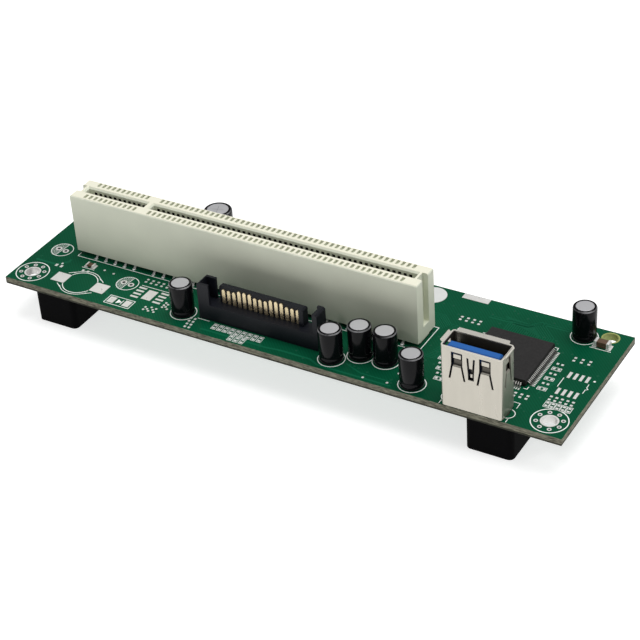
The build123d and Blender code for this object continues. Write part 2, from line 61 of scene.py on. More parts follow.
# Meshes gathered from simple forms, in millimetres
class Shape:
    def __init__(self):
        self.points = []
        self.faces = []

    def add(self, points, faces):
        base = len(self.points)
        self.points += [tuple(point) for point in points]
        self.faces += [tuple(base + i for i in face) for face in faces]

    def prism(self, outline, low, high):
        n = len(outline)
        following = outline[1:] + outline[:1]
        area = sum(a[0] * b[1] - b[0] * a[1] for a, b in zip(outline, following))
        if area < 0:
            outline = outline[::-1]
        points = [(x, y, low) for x, y in outline] + [(x, y, high) for x, y in outline]
        sides = [(i, (i + 1) % n, n + (i + 1) % n, n + i) for i in range(n)]
        self.add(points, [tuple(range(n - 1, -1, -1)), tuple(range(n, 2 * n))] + sides)

    def turned_box(self, x, y, length, width, low, high, angle=0.0):
        self.prism(turned(x, y, rectangle(length / 2, width / 2), angle), low, high)

    def disc(self, x, y, radius, low, high, steps=24):
        angles = [2 * math.pi / steps * i for i in range(steps)]
        self.prism([(x + radius * math.cos(a), y + radius * math.sin(a)) for a in angles], low, high)

    def bar(self, left, right, low, high, closed):
        """A bar of square section that runs between two edges, closed into a loop or with flat ends."""
        n = len(left)
        points = []
        for a, b in zip(left, right):
            points += [(a[0], a[1], low), (b[0], b[1], low), (b[0], b[1], high), (a[0], a[1], high)]
        faces = []
        for i in range(n if closed else n - 1):
            j = (i + 1) % n
            for k in range(4):
                m = (k + 1) % 4
                faces.append((4 * i + k, 4 * j + k, 4 * j + m, 4 * i + m))
        if not closed:
            faces += [(0, 1, 2, 3), (4 * n - 1, 4 * n - 2, 4 * n - 3, 4 * n - 4)]
        self.add(points, faces)

    def ring(self, x, y, inner, outer, low, high, start=0.0, end=360.0, steps=48):
        closed = abs(end - start) >= 360
        count = steps if closed else steps + 1
        angles = [math.radians(start + (end - start) * i / steps) for i in range(count)]
        near = [(x + inner * math.cos(a), y + inner * math.sin(a)) for a in angles]
        far = [(x + outer * math.cos(a), y + outer * math.sin(a)) for a in angles]
        self.bar(near, far, low, high, closed)

    def line(self, path, width, low, high, closed=False):
        n = len(path)
        left, right = [], []
        for i, here in enumerate(path):
            before = path[i - 1] if i > 0 or closed else None
            after = path[(i + 1) % n] if i < n - 1 or closed else None
            stretches = [(a, b) for a, b in ((before, here), (here, after)) if a and b]
            normals = [unit_normal(a, b) for a, b in stretches]
            nx = sum(normal[0] for normal in normals) / len(normals)
            ny = sum(normal[1] for normal in normals) / len(normals)
            size = nx * nx + ny * ny or 1.0
            nx, ny = nx / size * width / 2, ny / size * width / 2
            left.append((here[0] + nx, here[1] + ny))
            right.append((here[0] - nx, here[1] - ny))
        self.bar(left, right, low, high, closed)

    def lathe(self, x, y, profile, steps=64):
        """Turns a profile of (radius, height) about a vertical axis; a radius of 0 closes it in a point."""
        points, rows = [], []
        for radius, z in profile:
            count = steps if radius > 0 else 1
            rows.append([len(points) + i for i in range(count)])
            for i in range(count):
                angle = 2 * math.pi * i / steps
                points.append((x + radius * math.cos(angle), y + radius * math.sin(angle), z))
        faces = []
        for low, high in zip(rows, rows[1:]):
            for i in range(steps):
                j = (i + 1) % steps
                if len(low) == 1:
                    faces.append((low[0], high[j], high[i]))
                elif len(high) == 1:
                    faces.append((low[i], low[j], high[0]))
                else:
                    faces.append((low[i], low[j], high[j], high[i]))
        self.add(points, faces)

    def make(self, name, look, slot, smooth=False, angle=35.0):
        mesh = bpy.data.meshes.new(name)
        mesh.from_pydata([(x * MM, y * MM, z * MM) for x, y, z in self.points], [], self.faces)
        mesh.validate()
        mesh.materials.append(look.material)
        if smooth:
            mesh.polygons.foreach_set("use_smooth", [True] * len(mesh.polygons))
            mesh.set_sharp_from_angle(angle=math.radians(angle))
        mesh.update()
        piece = bpy.data.objects.new(name, mesh)
        bpy.context.scene.collection.objects.link(piece)
        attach(piece, "root")
        return piece


def rectangle(half_length, half_width):
    return [(sx * half_length, sy * half_width) for sx, sy in ((-1, -1), (1, -1), (1, 1), (-1, 1))]


def turned(x, y, corners, angle):
    c, s = math.cos(math.radians(angle)), math.sin(math.radians(angle))
    return [(x + a * c - b * s, y + a * s + b * c) for a, b in corners]


def unit_normal(a, b):
    dx, dy = b[0] - a[0], b[1] - a[1]
    size = math.hypot(dx, dy) or 1.0
    return -dy / size, dx / size


def middle(low, high):
    return (low.x + high.x) / 2, (low.y + high.y) / 2


# Procedural materials, built around one Principled shader each
class Look:
    def __init__(self, name, color, roughness=0.5, metallic=0.0, specular=0.5):
        self.material = bpy.data.materials.new(name)
        self.material.use_nodes = True
        self.tree = self.material.node_tree
        self.shader = self.tree.nodes["Principled BSDF"]
        self.shader.inputs["Base Color"].default_value = (*color, 1)
        self.shader.inputs["Roughness"].default_value = roughness
        self.shader.inputs["Metallic"].default_value = metallic
        self.shader.inputs["Specular IOR Level"].default_value = specular
        self.place = self.node("ShaderNodeTexCoord").outputs["Object"]
        self.color = color

    def node(self, kind, **settings):
        made = self.tree.nodes.new(kind)
        for key, value in settings.items():
            setattr(made, key, value)
        return made

    def link(self, out, into):
        self.tree.links.new(out, into)

    def math(self, operation, *values):
        part = self.node("ShaderNodeMath", operation=operation)
        for socket, value in zip(part.inputs, values):
            if isinstance(value, (int, float)):
                socket.default_value = value
            else:
                self.link(value, socket)
        return part.outputs[0]

    def axes(self):
        part = self.node("ShaderNodeSeparateXYZ")
        self.link(self.place, part.inputs[0])
        return part.outputs[0], part.outputs[1], part.outputs[2]

    def above(self, value, height):
        return self.math("GREATER_THAN", value, height * MM)

    def below(self, value, height):
        return self.math("LESS_THAN", value, height * MM)

    def within(self, value, low, high):
        return self.math("COMPARE", value, (low + high) / 2 * MM, (high - low) / 2 * MM)

    def all_of(self, *masks):
        result = masks[0]
        for mask in masks[1:]:
            result = self.math("MULTIPLY", result, mask)
        return result

    def paint(self, color):
        self.link(color, self.shader.inputs["Base Color"])
        return self

    def clouded(self, scale, amount, stretch=None):
        darker = tuple(c * (1 - amount) for c in self.color)
        lighter = tuple(min(1.0, c * (1 + amount)) for c in self.color)
        return self.mix(self.ranged(self.noise(scale, stretch=stretch), 0, 1), darker, lighter)

    def noise(self, scale, detail=3.0, stretch=None):
        vector = self.place
        if stretch:
            mapping = self.node("ShaderNodeMapping")
            mapping.inputs["Scale"].default_value = stretch
            self.link(vector, mapping.inputs["Vector"])
            vector = mapping.outputs["Vector"]
        texture = self.node("ShaderNodeTexNoise")
        texture.inputs["Scale"].default_value = scale
        texture.inputs["Detail"].default_value = detail
        self.link(vector, texture.inputs["Vector"])
        return texture.outputs["Fac"]

    def ranged(self, value, low, high, from_low=0.3, from_high=0.7):
        part = self.node("ShaderNodeMapRange")
        part.inputs["From Min"].default_value = from_low
        part.inputs["From Max"].default_value = from_high
        part.inputs["To Min"].default_value = low
        part.inputs["To Max"].default_value = high
        self.link(value, part.inputs["Value"])
        return part.outputs["Result"]

    def mix(self, factor, first, second):
        part = self.node("ShaderNodeMix", data_type="RGBA")
        self.link(factor, part.inputs[0])
        for socket, value in ((part.inputs[6], first), (part.inputs[7], second)):
            if isinstance(value, tuple):
                socket.default_value = (*value, 1)
            else:
                self.link(value, socket)
        return part.outputs[2]

    def vary_color(self, scale, amount):
        return self.paint(self.clouded(scale, amount))

    def vary_roughness(self, scale, low, high, stretch=None):
        varied = self.ranged(self.noise(scale, stretch=stretch), low, high)
        self.link(varied, self.shader.inputs["Roughness"])
        return self

    def bump(self, scale, strength, distance=0.00005, stretch=None):
        part = self.node("ShaderNodeBump")
        part.inputs["Strength"].default_value = strength
        part.inputs["Distance"].default_value = distance
        self.link(self.noise(scale, 4.0, stretch), part.inputs["Height"])
        self.link(part.outputs["Normal"], self.shader.inputs["Normal"])
        return self


# Places of the moulded details that the looks follow, in millimetres, as the CAD pieces have them
SKIN = 0.01
DARK_EDGE = 0.4
GROOVE_HALF = 0.875
CHAMBER_WALL = 0.75
CHAMBER_END = 3.0
CROWN_DROP = 0.1
WINDOW_DROP = 0.95
POCKET_INNER = 0.45
POCKET_OUTER = 1.85
PLATING_RISE = 1.25
SHELL_WALL = 0.3
SHELL_LIP = 0.5
SHELL_DEPTH = 5.7
SHELL_TOP = TOP + 14.2
LIP_HIGHLIGHT_BAND = 0.12
LEAD_FOOT = 0.15
LEAD_SHOULDER = 0.52
ROLL_LOW = 0.34
ROLL_HIGH = 0.12


# Solder mask over glass fibre: green faces, hatched and clouded by the copper below, and layered edges
def board_look():
    look = Look("solder_mask", (0.003, 0.105, 0.058), 0.34, specular=0.07)
    geometry = look.node("ShaderNodeNewGeometry")
    normal = look.node("ShaderNodeSeparateXYZ")
    look.link(geometry.outputs["True Normal"], normal.inputs[0])
    flat = look.math("GREATER_THAN", look.math("ABSOLUTE", normal.outputs["Z"]), 0.5)
    hatch = look.node("ShaderNodeTexWave", bands_direction="DIAGONAL")
    hatch.inputs["Scale"].default_value = 820
    hatch.inputs["Distortion"].default_value = 0.6
    look.link(look.place, hatch.inputs["Vector"])
    lines = look.ranged(hatch.outputs["Fac"], 0.0, 1.0, 0.0, 1.0)
    green = look.mix(lines, (0.001, 0.078, 0.033), (0.003, 0.104, 0.048))
    clouds = look.ranged(look.noise(38, 2.0), 0.0, 0.6)
    green = look.mix(clouds, green, (0.001, 0.048, 0.021))
    layers = look.ranged(look.noise(900, 3.0, (1.0, 1.0, 6.0)), 0.0, 1.0)
    edge = look.mix(layers, (0.060, 0.060, 0.045), (0.26, 0.25, 0.19))
    # The lowest band of the edge is darkened, partly as the dark mask layer on the bottom face and partly as
    # painted shade.
    low_edge = look.below(look.axes()[2], BOTTOM + DARK_EDGE)
    edge = look.mix(look.math("MULTIPLY", low_edge, 0.8), edge, (0.018, 0.020, 0.016))
    look.paint(look.mix(flat, edge, green))
    look.link(look.ranged(flat, 0.8, 0.34, 0.0, 1.0), look.shader.inputs["Roughness"])
    return look.bump(1400, 0.12, 0.00003)


# Card slot moulding: ivory, with a painted highlight along its crown and painted shade in the contact
# chambers and the rail pockets
def slot_look(low, high):
    look = Look("ivory_plastic", (0.745, 0.770, 0.635), 0.45, specular=0.25)
    x, y, z = look.axes()
    across = look.math("ABSOLUTE", y)
    along = look.within(x, low.x + CHAMBER_END, high.x - CHAMBER_END)
    window = high.z - WINDOW_DROP
    chamber_band = look.within(across, GROOVE_HALF + SKIN, high.y - CHAMBER_WALL + SKIN)
    chamber = look.all_of(along, chamber_band, look.below(z, window + 2 * SKIN))
    pocket_band = look.within(across, high.y - POCKET_OUTER - SKIN, high.y - POCKET_INNER + SKIN)
    pocket = look.all_of(along, pocket_band, look.within(z, window + 5 * SKIN, high.z - 3 * SKIN))
    # Painted highlight: the top band of the moulding is lighter than the rest.
    ivory = look.mix(look.above(z, high.z - CROWN_DROP), look.clouded(120, 0.03), (0.88, 0.865, 0.71))
    shaded = look.mix(look.math("MULTIPLY", pocket, 0.12), ivory, (0.16, 0.16, 0.11))
    look.paint(look.mix(chamber, shaded, (0.040, 0.036, 0.024)))
    return look.bump(1800, 0.12)


# Slot contacts: gold in the chambers, tinned tails below
def contact_look():
    look = Look("gold_on_tin", (0.75, 0.58, 0.30), 0.26, metallic=1.0)
    plated = look.above(look.axes()[2], TOP + PLATING_RISE)
    look.paint(look.mix(plated, (0.72, 0.72, 0.69), (0.72, 0.57, 0.32)))
    look.link(look.ranged(plated, 0.25, 1.0, 0.0, 1.0), look.shader.inputs["Metallic"])
    return look.vary_roughness(900, 0.2, 0.34)


# Socket shell: brushed plating with a painted highlight on the lips and painted shade inside the mouth
def steel_look(low, high):
    look = Look("plated_sheet", (0.50, 0.475, 0.415), 0.32, metallic=0.85, specular=0.3)
    x, y, z = look.axes()
    # Painted shade inside the mouth: near black deep down, lighter towards the lips.
    inside = look.all_of(look.within(x, low.x + SHELL_LIP + SHELL_WALL, high.x - SHELL_LIP - SHELL_WALL),
                         look.within(y, FRONT + SHELL_WALL, FRONT + SHELL_DEPTH - SHELL_WALL + SKIN),
                         look.below(z, SHELL_TOP - 0.35))
    depth = look.ranged(z, 0.02, 0.30, (SHELL_TOP - 5) * MM, (SHELL_TOP - 0.3) * MM)
    inner = look.mix(depth, (0.008, 0.008, 0.008), (0.62, 0.57, 0.48))
    # Painted highlight: the band at the lips is lighter and less metallic.
    lips = look.above(z, SHELL_TOP - LIP_HIGHLIGHT_BAND)
    outer = look.mix(lips, look.clouded(500, 0.03, (1.0, 1.0, 0.15)), (0.70, 0.67, 0.60))
    look.paint(look.mix(inside, outer, inner))
    look.link(look.ranged(lips, 0.85, 0.25, 0.0, 1.0), look.shader.inputs["Metallic"])
    look.vary_roughness(600, 0.26, 0.38, (1.0, 1.0, 0.12))
    return look.bump(900, 0.08, stretch=(1.0, 1.0, 0.1))


# Chip leads: bright feet and shoulders, the slopes between them in shade
def lead_look():
    look = Look("tin_plate", (0.70, 0.69, 0.66), 0.27, metallic=0.45)
    slope = look.within(look.axes()[2], TOP + LEAD_FOOT, TOP + LEAD_SHOULDER)
    look.paint(look.mix(look.math("MULTIPLY", slope, 0.85), look.color, (0.04, 0.04, 0.04)))
    return look.vary_roughness(900, 0.22, 0.34)


# Capacitor sleeves: black film, with a painted highlight on the rolled edge at the two heights of their tops
def sleeve_look(tops):
    look = Look("shrunk_sleeve", (0.003, 0.003, 0.004), 0.16, specular=0.13)
    z = look.axes()[2]
    # Painted highlight on the rolled rim, broken up by noise.
    first, second = [look.within(z, top - ROLL_LOW, top - ROLL_HIGH) for top in tops]
    highlight_breakup = look.ranged(look.noise(420, 2.0), 0.0, 1.0)
    roll = look.math("MULTIPLY", look.math("MAXIMUM", first, second), highlight_breakup)
    look.paint(look.mix(roll, look.color, (0.30, 0.30, 0.31)))
    return look.bump(260, 0.12, 0.00004)


# Socket insulator: blue tongue that falls into shade below the mouth
def tongue_look():
    look = Look("blue_plastic", (0.013, 0.112, 0.400), 0.35, specular=0.4)
    depth = look.ranged(look.axes()[2], 0.0, 1.0, (SHELL_TOP - 2.6) * MM, (SHELL_TOP - 0.5) * MM)
    look.paint(look.mix(depth, (0.001, 0.004, 0.016), look.color))
    return look.bump(1500, 0.1)


# Floor: pale and partly lit from itself, so that it stays white below the shadows
def floor_look():
    look = Look("pale_floor", (0.62, 0.62, 0.62), 0.9, specular=0.0)
    look.shader.inputs["Emission Color"].default_value = (1, 1, 1, 1)
    look.shader.inputs["Emission Strength"].default_value = 0.66
    return look


# Looks of the pieces
slot_low, slot_high = box_mm("pci_slot_housing")
shell_low, shell_high = box_mm("usb_shell")
small_can_top = box_mm("capacitor_a_can")[1].z
tall_can_top = box_mm("capacitor_g_can")[1].z

BOARD = board_look()
TRACE = Look("trace_under_mask", (0.005, 0.108, 0.052), 0.34, specular=0.08)
INK = Look("white_ink", (0.93, 0.95, 0.92), 0.6).vary_color(900, 0.06)
TIN = Look("tinned_pad", (0.80, 0.79, 0.77), 0.34, metallic=0.3)
TIN.vary_roughness(700, 0.26, 0.46).bump(500, 0.25)
SOLDER = Look("solder", (0.70, 0.70, 0.69), 0.22, metallic=0.55).vary_roughness(500, 0.16, 0.32)
GOLD = Look("gold_flash", (0.80, 0.66, 0.42), 0.28, metallic=0.85).vary_roughness(900, 0.2, 0.34)
CONTACT = contact_look()
SLOT = slot_look(slot_low, slot_high)
BLACK = Look("black_plastic", (0.006, 0.007, 0.011), 0.42, specular=0.22).bump(1600, 0.15)
STEEL = steel_look(shell_low, shell_high)
BLUE = tongue_look()
CHIP = Look("moulding_compound", (0.019, 0.018, 0.018), 0.6, specular=0.22)
CHIP.vary_color(2200, 0.25).bump(3800, 0.3)
LEAD = lead_look()
RUBBER = Look("foot_rubber", (0.0015, 0.0015, 0.0018), 0.8, specular=0.05).bump(1200, 0.4)
SLEEVE = sleeve_look([small_can_top, tall_can_top])
STRIPE = Look("sleeve_stripe", (0.42, 0.43, 0.45), 0.35)
CAN = Look("drawn_aluminium", (0.50, 0.50, 0.515), 0.38, metallic=0.3).vary_roughness(2500, 0.32, 0.44)
SCORE = Look("vent_score", (0.35, 0.35, 0.36), 0.4, metallic=1.0)
BROWN = Look("fired_ceramic", (0.105, 0.058, 0.032), 0.5).vary_color(1200, 0.15)
STICKER = Look("paper_label", (0.70, 0.71, 0.70), 0.55).vary_color(700, 0.02)
BARE_BOARD = Look("bare_laminate", (0.30, 0.34, 0.10), 0.5).vary_color(1500, 0.15)
BORE = Look("hole_shade", (0.010, 0.012, 0.010), 0.8)

FEET = ["foot_front_left", "foot_front_right", "foot_rear_left", "foot_rear_right"]
NODES_OF_LOOK = [
    (BOARD, ["printed_circuit_board"]),
    (SLOT, ["pci_slot_housing"]),
    (CONTACT, ["pci_contacts_rear", "pci_contacts_front"]),
    (BLACK, ["power_connector_housing"]),
    (GOLD, ["power_connector_pins", "usb_power_contacts", "usb_data_contacts"]),
    (STEEL, ["usb_shell"]),
    (BLUE, ["usb_insulator"]),
    (CHIP, ["bridge_chip_body"]),
    (LEAD, ["bridge_chip_leads"]),
    (BROWN, ["filter_capacitor_body", "bypass_capacitor_body"]),
    (TIN, ["filter_capacitor_caps", "bypass_capacitor_caps"]),
    (RUBBER, FEET),
]
for look, nodes in NODES_OF_LOOK:
    for node in nodes:
        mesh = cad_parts[node].data
        mesh.materials.clear()
        mesh.materials.append(look.material)

# Flat work on the board: heights and widths of its layers, in millimetres
TRACE_HIGH = TOP + 0.014
INK_HIGH = TOP + 0.022
PAD_HIGH = TOP + 0.045
PAD_LOW = BOTTOM - 0.04
BORE_HIGH = TOP + 0.006
INK_WIDTH = 0.15
TRACE_WIDTH = 0.16
JOINT_STEPS = 14

ink = Shape()
pads = Shape()
traces = Shape()
bores = Shape()
joints = Shape()


def mark(path, width=INK_WIDTH, closed=False):
    ink.line(path, width, TOP, INK_HIGH, closed)


def trace(path, width=TRACE_WIDTH, over=0.0):
    traces.line(path, width, TOP, TRACE_HIGH + over)


def land(x, y, length, width, angle=0.0):
    pads.turned_box(x, y, length, width, TOP, PAD_HIGH, angle)


def joint(x, y, profile):
    joints.lathe(x, y, [(radius, BOTTOM - drop) for radius, drop in profile], JOINT_STEPS)


# Capacitors: sleeve shrunk over the shoulder, bright top with a scored vent on the larger ones, stripe on
# the side turned away
VENTED_RADIUS = 3.0
INNER_SHARE = 0.75
NECK_SHARE = 0.955
STRIPE_DASHES = 3
STRIPE_START = 2.2
STRIPE_MARGIN = 3.4
CAPACITORS = "abcdefg"


def capacitor_sleeve(x, y, radius, base, top):
    neck = radius * NECK_SHARE
    sleeve = Shape()
    sleeve.lathe(x, y, [
        (radius * 0.80, base + 0.04), (radius * 0.93, base + 0.03), (radius * 0.985, base + 0.14),
        (radius, base + 0.32), (radius, base + 0.95), (radius * 0.985, base + 1.10), (neck, base + 1.28),
        (neck, base + 1.48), (radius * 0.985, base + 1.66), (radius, base + 1.82), (radius, top - 0.62),
        (radius * 0.992, top - 0.42), (radius * 0.965, top - 0.24), (radius * 0.915, top - 0.11),
        (radius * 0.85, top - 0.045), (radius * 0.79, top - 0.03), (radius * 0.76, top - 0.06),
        (radius * 0.75, top - 0.14)])
    return sleeve


def capacitor_can(x, y, inner, base, top):
    can = Shape()
    can.lathe(x, y, [
        (0, base + 0.02), (inner, base + 0.02), (inner * 1.01, base + 0.3), (inner * 1.01, top - 0.18),
        (inner * 0.995, top - 0.13), (inner * 0.97, top - 0.105), (inner * 0.93, top - 0.10),
        (0, top - 0.10)])
    return can


def capacitor_vent(x, y, inner, top):
    vent = Shape()
    for turn in (20, 110):
        vent.turned_box(x, y, inner * 1.15, 0.09, top - 0.0995, top - 0.095, turn)
    return vent


def capacitor_stripe(x, y, radius, base, top):
    stripe = Shape()
    pitch = (top - base - STRIPE_MARGIN) / STRIPE_DASHES
    for k in range(STRIPE_DASHES):
        start = base + STRIPE_START + k * pitch
        stripe.ring(x, y, radius - 0.02, radius + 0.006, start, start + 0.72 * pitch, 158, 202, 12)
    return stripe


def capacitor(letter):
    low, high = box_mm(f"capacitor_{letter}_can")
    sleeve_low, sleeve_high = box_mm(f"capacitor_{letter}_sleeve")
    x, y = middle(low, high)
    base, top = low.z, high.z
    radius = (sleeve_high.x - sleeve_low.x) / 2
    inner = radius * INNER_SHARE
    sleeve = capacitor_sleeve(x, y, radius, base, top)
    made = sleeve.make(f"capacitor_{letter}_sleeve_shown", SLEEVE, "capacitor_sleeve", smooth=True, angle=50)
    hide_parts(f"capacitor_{letter}_sleeve")
    can = capacitor_can(x, y, inner, base, top)
    can = can.make(f"capacitor_{letter}_can_shown", CAN, "capacitor_can", smooth=True, angle=30)
    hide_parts(f"capacitor_{letter}_can")
    if radius > VENTED_RADIUS:
        vent = capacitor_vent(x, y, inner, top)
        vent.make(f"capacitor_{letter}_vent", SCORE, "capacitor_can")
    stripe = capacitor_stripe(x, y, radius, base, top)
    stripe.make(f"capacitor_{letter}_stripe", STRIPE, "capacitor_sleeve")
    ink.ring(x, y, radius + 0.22, radius + 0.40, TOP, INK_HIGH)


for letter in CAPACITORS:
    capacitor(letter)

# Mounting holes: tinned lining, ring of vias and printed ring at the front; bare rim at the rear
HOLE_RADIUS = 1.6
HOLE_SIDE_INSET = 4.3
FRONT_HOLES = [(LEFT + HOLE_SIDE_INSET, FRONT + 4.2), (RIGHT - HOLE_SIDE_INSET, FRONT + 4.2)]
REAR_HOLES = [(LEFT + HOLE_SIDE_INSET, REAR - 2.3), (RIGHT - HOLE_SIDE_INSET, REAR - 2.3)]
HOLE_STEPS = 64
RING_VIAS = 8
RING_VIA_CIRCLE = 2.62
RING_VIA_BORE = 0.22
RING_VIA_RADIUS = 0.46


def front_hole(lining, x, y):
    lining.ring(x, y, HOLE_RADIUS - 0.10, HOLE_RADIUS + 0.01, BOTTOM - 0.02, TOP + 0.03, steps=HOLE_STEPS)
    pads.ring(x, y, HOLE_RADIUS, 1.85, TOP, PAD_HIGH, steps=HOLE_STEPS)
    pads.ring(x, y, HOLE_RADIUS, 2.1, PAD_LOW, BOTTOM, steps=HOLE_STEPS)
    ink.ring(x, y, 3.56, 3.76, TOP, INK_HIGH, steps=72)
    for k in range(RING_VIAS):
        angle = math.radians(360 / RING_VIAS * (k + 0.5))
        via_x, via_y = x + RING_VIA_CIRCLE * math.cos(angle), y + RING_VIA_CIRCLE * math.sin(angle)
        pads.ring(via_x, via_y, RING_VIA_BORE, RING_VIA_RADIUS, TOP, PAD_HIGH, steps=20)
        bores.disc(via_x, via_y, RING_VIA_BORE, TOP, BORE_HIGH, 16)
        pads.ring(via_x, via_y, RING_VIA_BORE, RING_VIA_RADIUS, PAD_LOW, BOTTOM, steps=20)


def rear_hole(rims, x, y):
    rims.ring(x, y, HOLE_RADIUS, 1.92, TOP, TOP + 0.012, steps=HOLE_STEPS)
    rims.ring(x, y, HOLE_RADIUS - 0.025, HOLE_RADIUS + 0.002, BOTTOM, TOP, steps=HOLE_STEPS)
    rims.ring(x, y, HOLE_RADIUS, 1.92, BOTTOM - 0.012, BOTTOM, steps=HOLE_STEPS)


hole_linings = Shape()
hole_rims = Shape()
for x, y in FRONT_HOLES:
    front_hole(hole_linings, x, y)
for x, y in REAR_HOLES:
    rear_hole(hole_rims, x, y)
hole_linings.make("hole_linings", TIN, "tinned_lead", smooth=True)
hole_rims.make("hole_rims", BARE_BOARD, "circuit_board", smooth=True)

# Card slot: pads and fillets at the outer tails, joints below, and the printed outline
PITCH = 1.27
SLOT_POSITIONS = 62
KEY_POSITIONS = (11, 12)
OUTER_ROW = 3.81
INNER_ROW = 1.27
FILLET = [(0.38, 0.04), (0.28, 0.08), (0.20, 0.16), (0.17, 0.24), (0, 0.25)]
SLOT_JOINT = [(0, 1.15), (0.16, 1.12), (0.2, 0.95), (0.24, 0.55), (0.38, 0.25), (0.62, 0.03), (0.68, 0)]

slot_x = (slot_low.x + slot_high.x) / 2
first_x = slot_x - (SLOT_POSITIONS - 1) * PITCH / 2
slot_contacts = [i for i in range(SLOT_POSITIONS) if i not in KEY_POSITIONS]


def slot_tails():
    fillets = Shape()
    for i in slot_contacts:
        x = first_x + i * PITCH
        outer = i % 2 == 1
        for side in (-1, 1):
            y = side * (OUTER_ROW if outer else INNER_ROW)
            if outer:
                pads.disc(x, y, 0.42, TOP, PAD_HIGH, 20)
                fillets.lathe(x, y, [(radius, TOP + rise) for radius, rise in FILLET], JOINT_STEPS)
            joint(x, y, SLOT_JOINT)
    fillets.make("slot_tail_fillets", SOLDER, "tinned_lead", smooth=True, angle=60)


def slot_outline():
    left, right = slot_low.x + 0.4, slot_high.x + 0.45
    front, rear = -4.5, 4.5
    corners = [(left, front), (right, front), (right, rear), (left, rear)]
    mark([(left, front + 1.4)] + corners + [(left, rear - 0.6)], width=0.17)


slot_tails()
slot_outline()

# Power header: joints below and a mark at its front corner
POWER_PINS = 15
PIN_HALF_WIDTH = 0.38
PIN_ROW_HALF = 0.75
PIN_JOINT = [(0, 1.0), (0.15, 0.97), (0.2, 0.5), (0.36, 0.22), (0.55, 0)]


def power_header():
    power_low = box_mm("power_connector_housing")[0]
    pin_low, pin_high = box_mm("power_connector_pins")
    row_y = (pin_low.y + pin_high.y) / 2
    for i in range(POWER_PINS):
        side = 1 if i % 2 else -1
        joint(pin_low.x + PIN_HALF_WIDTH + i * PITCH, row_y + side * PIN_ROW_HALF, PIN_JOINT)
    mark_y = power_low.y - 0.35
    mark([(power_low.x - 0.3, mark_y), (power_low.x + 2.6, mark_y)])


power_header()

# Link socket: printed arcs round its feet, corner marks, and rings below
SOCKET_FOOT = 6.3
SOCKET_MARKS = [
    [(52.9, -11.5), (54.25, -11.5), (54.25, -13.2)],
    [(54.15, -16.9), (54.15, -18.0)],
    [(40.0, -16.9), (40.0, -18.0)],
    [(41.4, -11.5), (40.0, -11.5), (40.0, -13.2)],
]

socket_x = (shell_low.x + shell_high.x) / 2


def link_socket():
    y = FRONT + SHELL_DEPTH / 2
    for side, middle_angle in ((-1, 180), (1, 0)):
        x = socket_x + side * SOCKET_FOOT
        ink.ring(x, y, 1.35, 1.52, TOP, INK_HIGH, middle_angle - 82, middle_angle + 82, 24)
        pads.ring(x, y, 0.75, 1.05, PAD_LOW, BOTTOM, steps=24)
    for path in SOCKET_MARKS:
        mark(path)


link_socket()

# Bridge chip: a pad under each lead, corner marks, a dot at the first lead, and the tracks that fan out
LEAD_PITCH = 0.5
LEADS_A_SIDE = 25
LEAD_LAND = (1.0, 0.28)
CORNER_MARK = 7.5

chip_low, chip_high = box_mm("bridge_chip_body")
lead_low, lead_high = box_mm("bridge_chip_leads")
chip_x, chip_y = middle(chip_low, chip_high)
half_lead = (lead_high.x - lead_low.x) / 2


def chip_pads():
    reach = half_lead - 0.05
    length, width = LEAD_LAND
    for i in range(LEADS_A_SIDE):
        along = (i - LEADS_A_SIDE // 2) * LEAD_PITCH
        for side in (-1, 1):
            land(chip_x + side * reach, chip_y + along, length, width)
            land(chip_x + along, chip_y + side * reach, width, length)


def chip_marks():
    for sx, sy in rectangle(1, 1):
        x, y = chip_x + sx * CORNER_MARK, chip_y + sy * CORNER_MARK
        mark([(x - sx * 0.8, y), (x, y), (x, y - sy * 0.8)])
    ink.disc(chip_x - 8.9, chip_y - 6.9, 0.3, TOP, INK_HIGH)


def chip_rear_tracks():
    for i in range(22):
        x, y = chip_x + (i - 10.5) * LEAD_PITCH, chip_y + half_lead + 0.4
        rise = 1.0 + 0.16 * abs(i - 16)
        turn = 1.5 + 0.12 * i
        trace([(x, y), (x, y + rise), (x - turn, y + rise + turn)])


def chip_left_tracks():
    for i in range(18):
        x, y = chip_x - half_lead - 0.4, chip_y + (i - 8.5) * LEAD_PITCH
        reach = 1.6 + 0.2 * abs(i - 9)
        end_y = y - 1.8 if i < 9 else y + 1.8
        trace([(x, y), (x - reach, y), (x - reach - 1.8, end_y), (x - reach - 4.2, end_y)], over=0.002)


def chip_right_tracks():
    for i in range(10):
        x, y = chip_x + half_lead + 0.5, chip_y + (i - 9.5) * LEAD_PITCH
        reach = 0.6 + 0.22 * i
        trace([(x, y), (x + reach, y), (x + reach + 0.8, y - 0.8), (x + reach + 0.8, y - 3.2)], 0.14)


def chip_front_tracks():
    for i in range(6):
        x, y = chip_x - 2.5 + i * LEAD_PITCH, chip_y - half_lead
        trace([(x, y - 0.5), (x, y - 1.4), (x + 0.9, y - 2.3), (x + 0.9, -11.0)])


chip_pads()
chip_marks()
chip_rear_tracks()
chip_left_tracks()
chip_right_tracks()
chip_front_tracks()


# Slot tracks towards the rear, and the bundle that crosses them
def slot_tracks():
    for i in slot_contacts:
        if 9 <= i < 56:
            x, rise = first_x + i * PITCH, 0.06 * (i % 9)
            trace([(x, 4.6), (x, 5.4 + rise), (x + 1.3, 6.7 + rise), (x + 1.3, 9.5 + 0.25 * (i % 7))], 0.15)


def rear_bundle():
    for i in range(9):
        x, y = 0.174 * i, 9.4 + 0.42 * i
        path = [(-18, y), (x + 16, y), (x + 19.5, y - 3.5), (x + 26.5, y - 3.5), (x + 29.0, y - 6.0)]
        trace(path, over=0.003)


slot_tracks()
rear_bundle()


